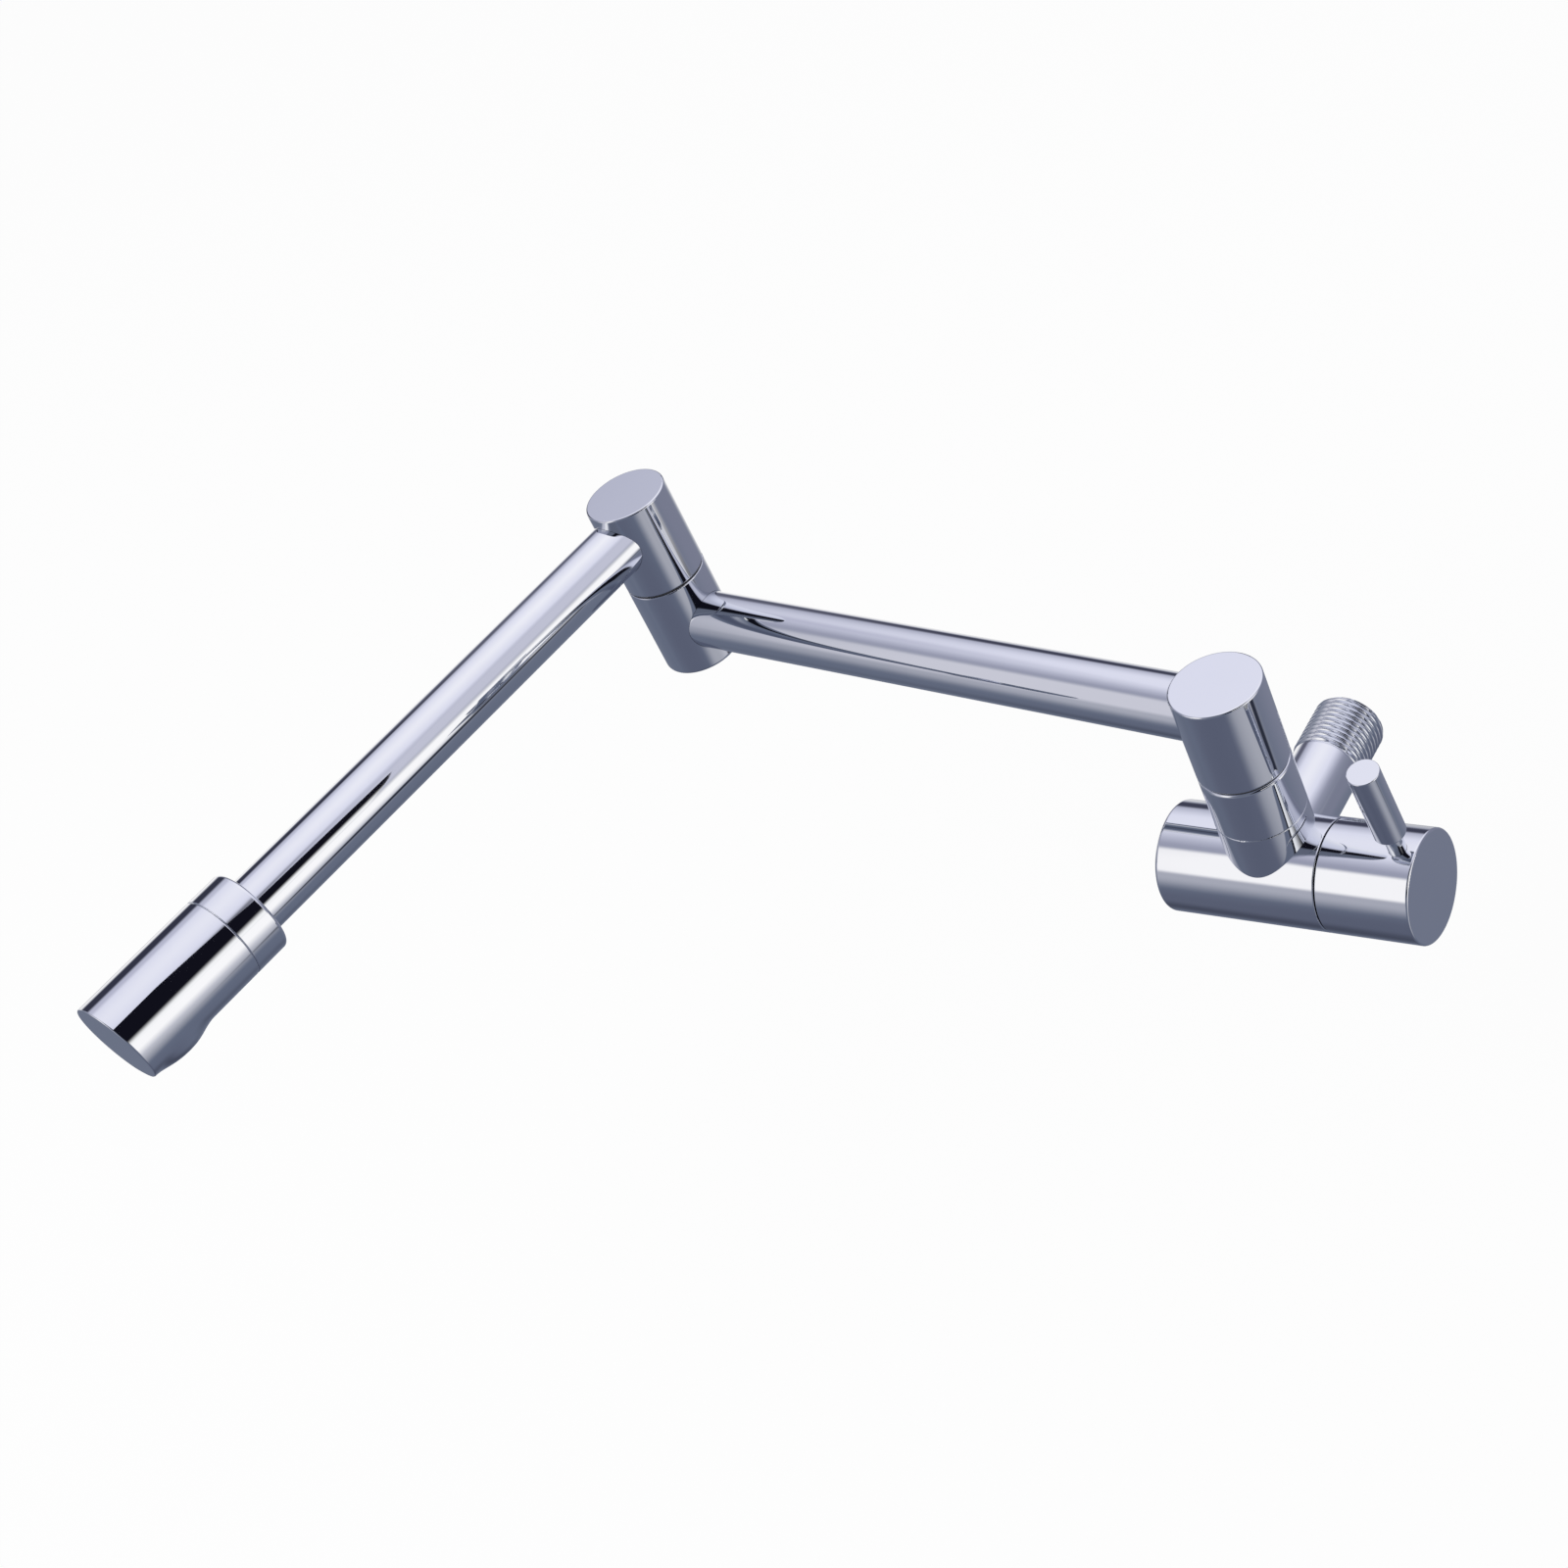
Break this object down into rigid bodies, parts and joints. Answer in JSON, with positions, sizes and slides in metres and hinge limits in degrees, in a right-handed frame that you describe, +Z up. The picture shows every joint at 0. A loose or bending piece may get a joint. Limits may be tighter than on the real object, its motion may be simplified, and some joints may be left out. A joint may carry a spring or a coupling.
{
  "type": "folding wall tap",
  "caption": "Folding wall tap: a quarter-turn lever valve on a threaded rear inlet, swivelling tube arms joined at an elbow, and a cylindrical spout head with an aerator underneath.",
  "frame": {"origin": "centre of the end face of the threaded inlet, on the inlet's axis", "axes": "+Y along the inlet, out of the tap and into the wall; +Z up, along both swivel axes; +X from the valve's closed end towards its knob"},
  "size_m": [0.2947, 0.2598, 0.1242],
  "materials": {
    "chrome": "polished chrome plate",
    "brass": "machined brass",
    "ceramic": "lapped ceramic",
    "rubber": "moulded rubber",
    "acetal": "turned acetal",
    "steel": "stainless steel"
  },
  "bodies": {
    "valve": {"valve_body": "chrome", "inlet_tail": "chrome", "seat_seal": "rubber", "cartridge_housing": "brass", "cartridge_o_ring": "rubber", "fixed_disc": "ceramic", "gland_nut": "brass", "riser": "chrome", "riser_washer": "rubber", "base_o_rings": "rubber", "base_slip_ring": "acetal"},
    "handle": {"moving_disc": "ceramic", "spindle": "brass", "spindle_o_ring": "rubber", "spindle_clip": "steel", "knob": "chrome", "knob_screw": "steel", "lever": "chrome"},
    "lower_arm": {"base_hub": "chrome", "base_screw": "steel", "arm_1_tube": "chrome", "elbow_lower_hub": "chrome", "elbow_spigot": "brass", "elbow_washer": "rubber", "elbow_o_rings": "rubber", "elbow_slip_ring": "acetal"},
    "upper_arm": {"elbow_upper_hub": "chrome", "elbow_screw": "steel", "arm_2_tube": "chrome", "head_collar": "chrome", "head_washer": "rubber", "spout_head": "chrome", "aerator_washer": "rubber", "aerator_shell": "chrome", "aerator_insert": "acetal"}
  },
  "joints": [
    {"name": "handle_turn", "type": "hinge", "parent": "valve", "child": "handle", "pos_m": [0.0035, -0.059, 0], "axis": [1, 0, 0], "range_deg": [0, 90]},
    {"name": "base_swivel", "type": "hinge", "parent": "valve", "child": "lower_arm", "pos_m": [0.0035, -0.059, 0.041], "axis": [0, 0, 1], "continuous": true},
    {"name": "elbow_swivel", "type": "hinge", "parent": "lower_arm", "child": "upper_arm", "pos_m": [-0.1982, -0.03602, 0.076], "axis": [0, 0, 1], "continuous": true}
  ]
}
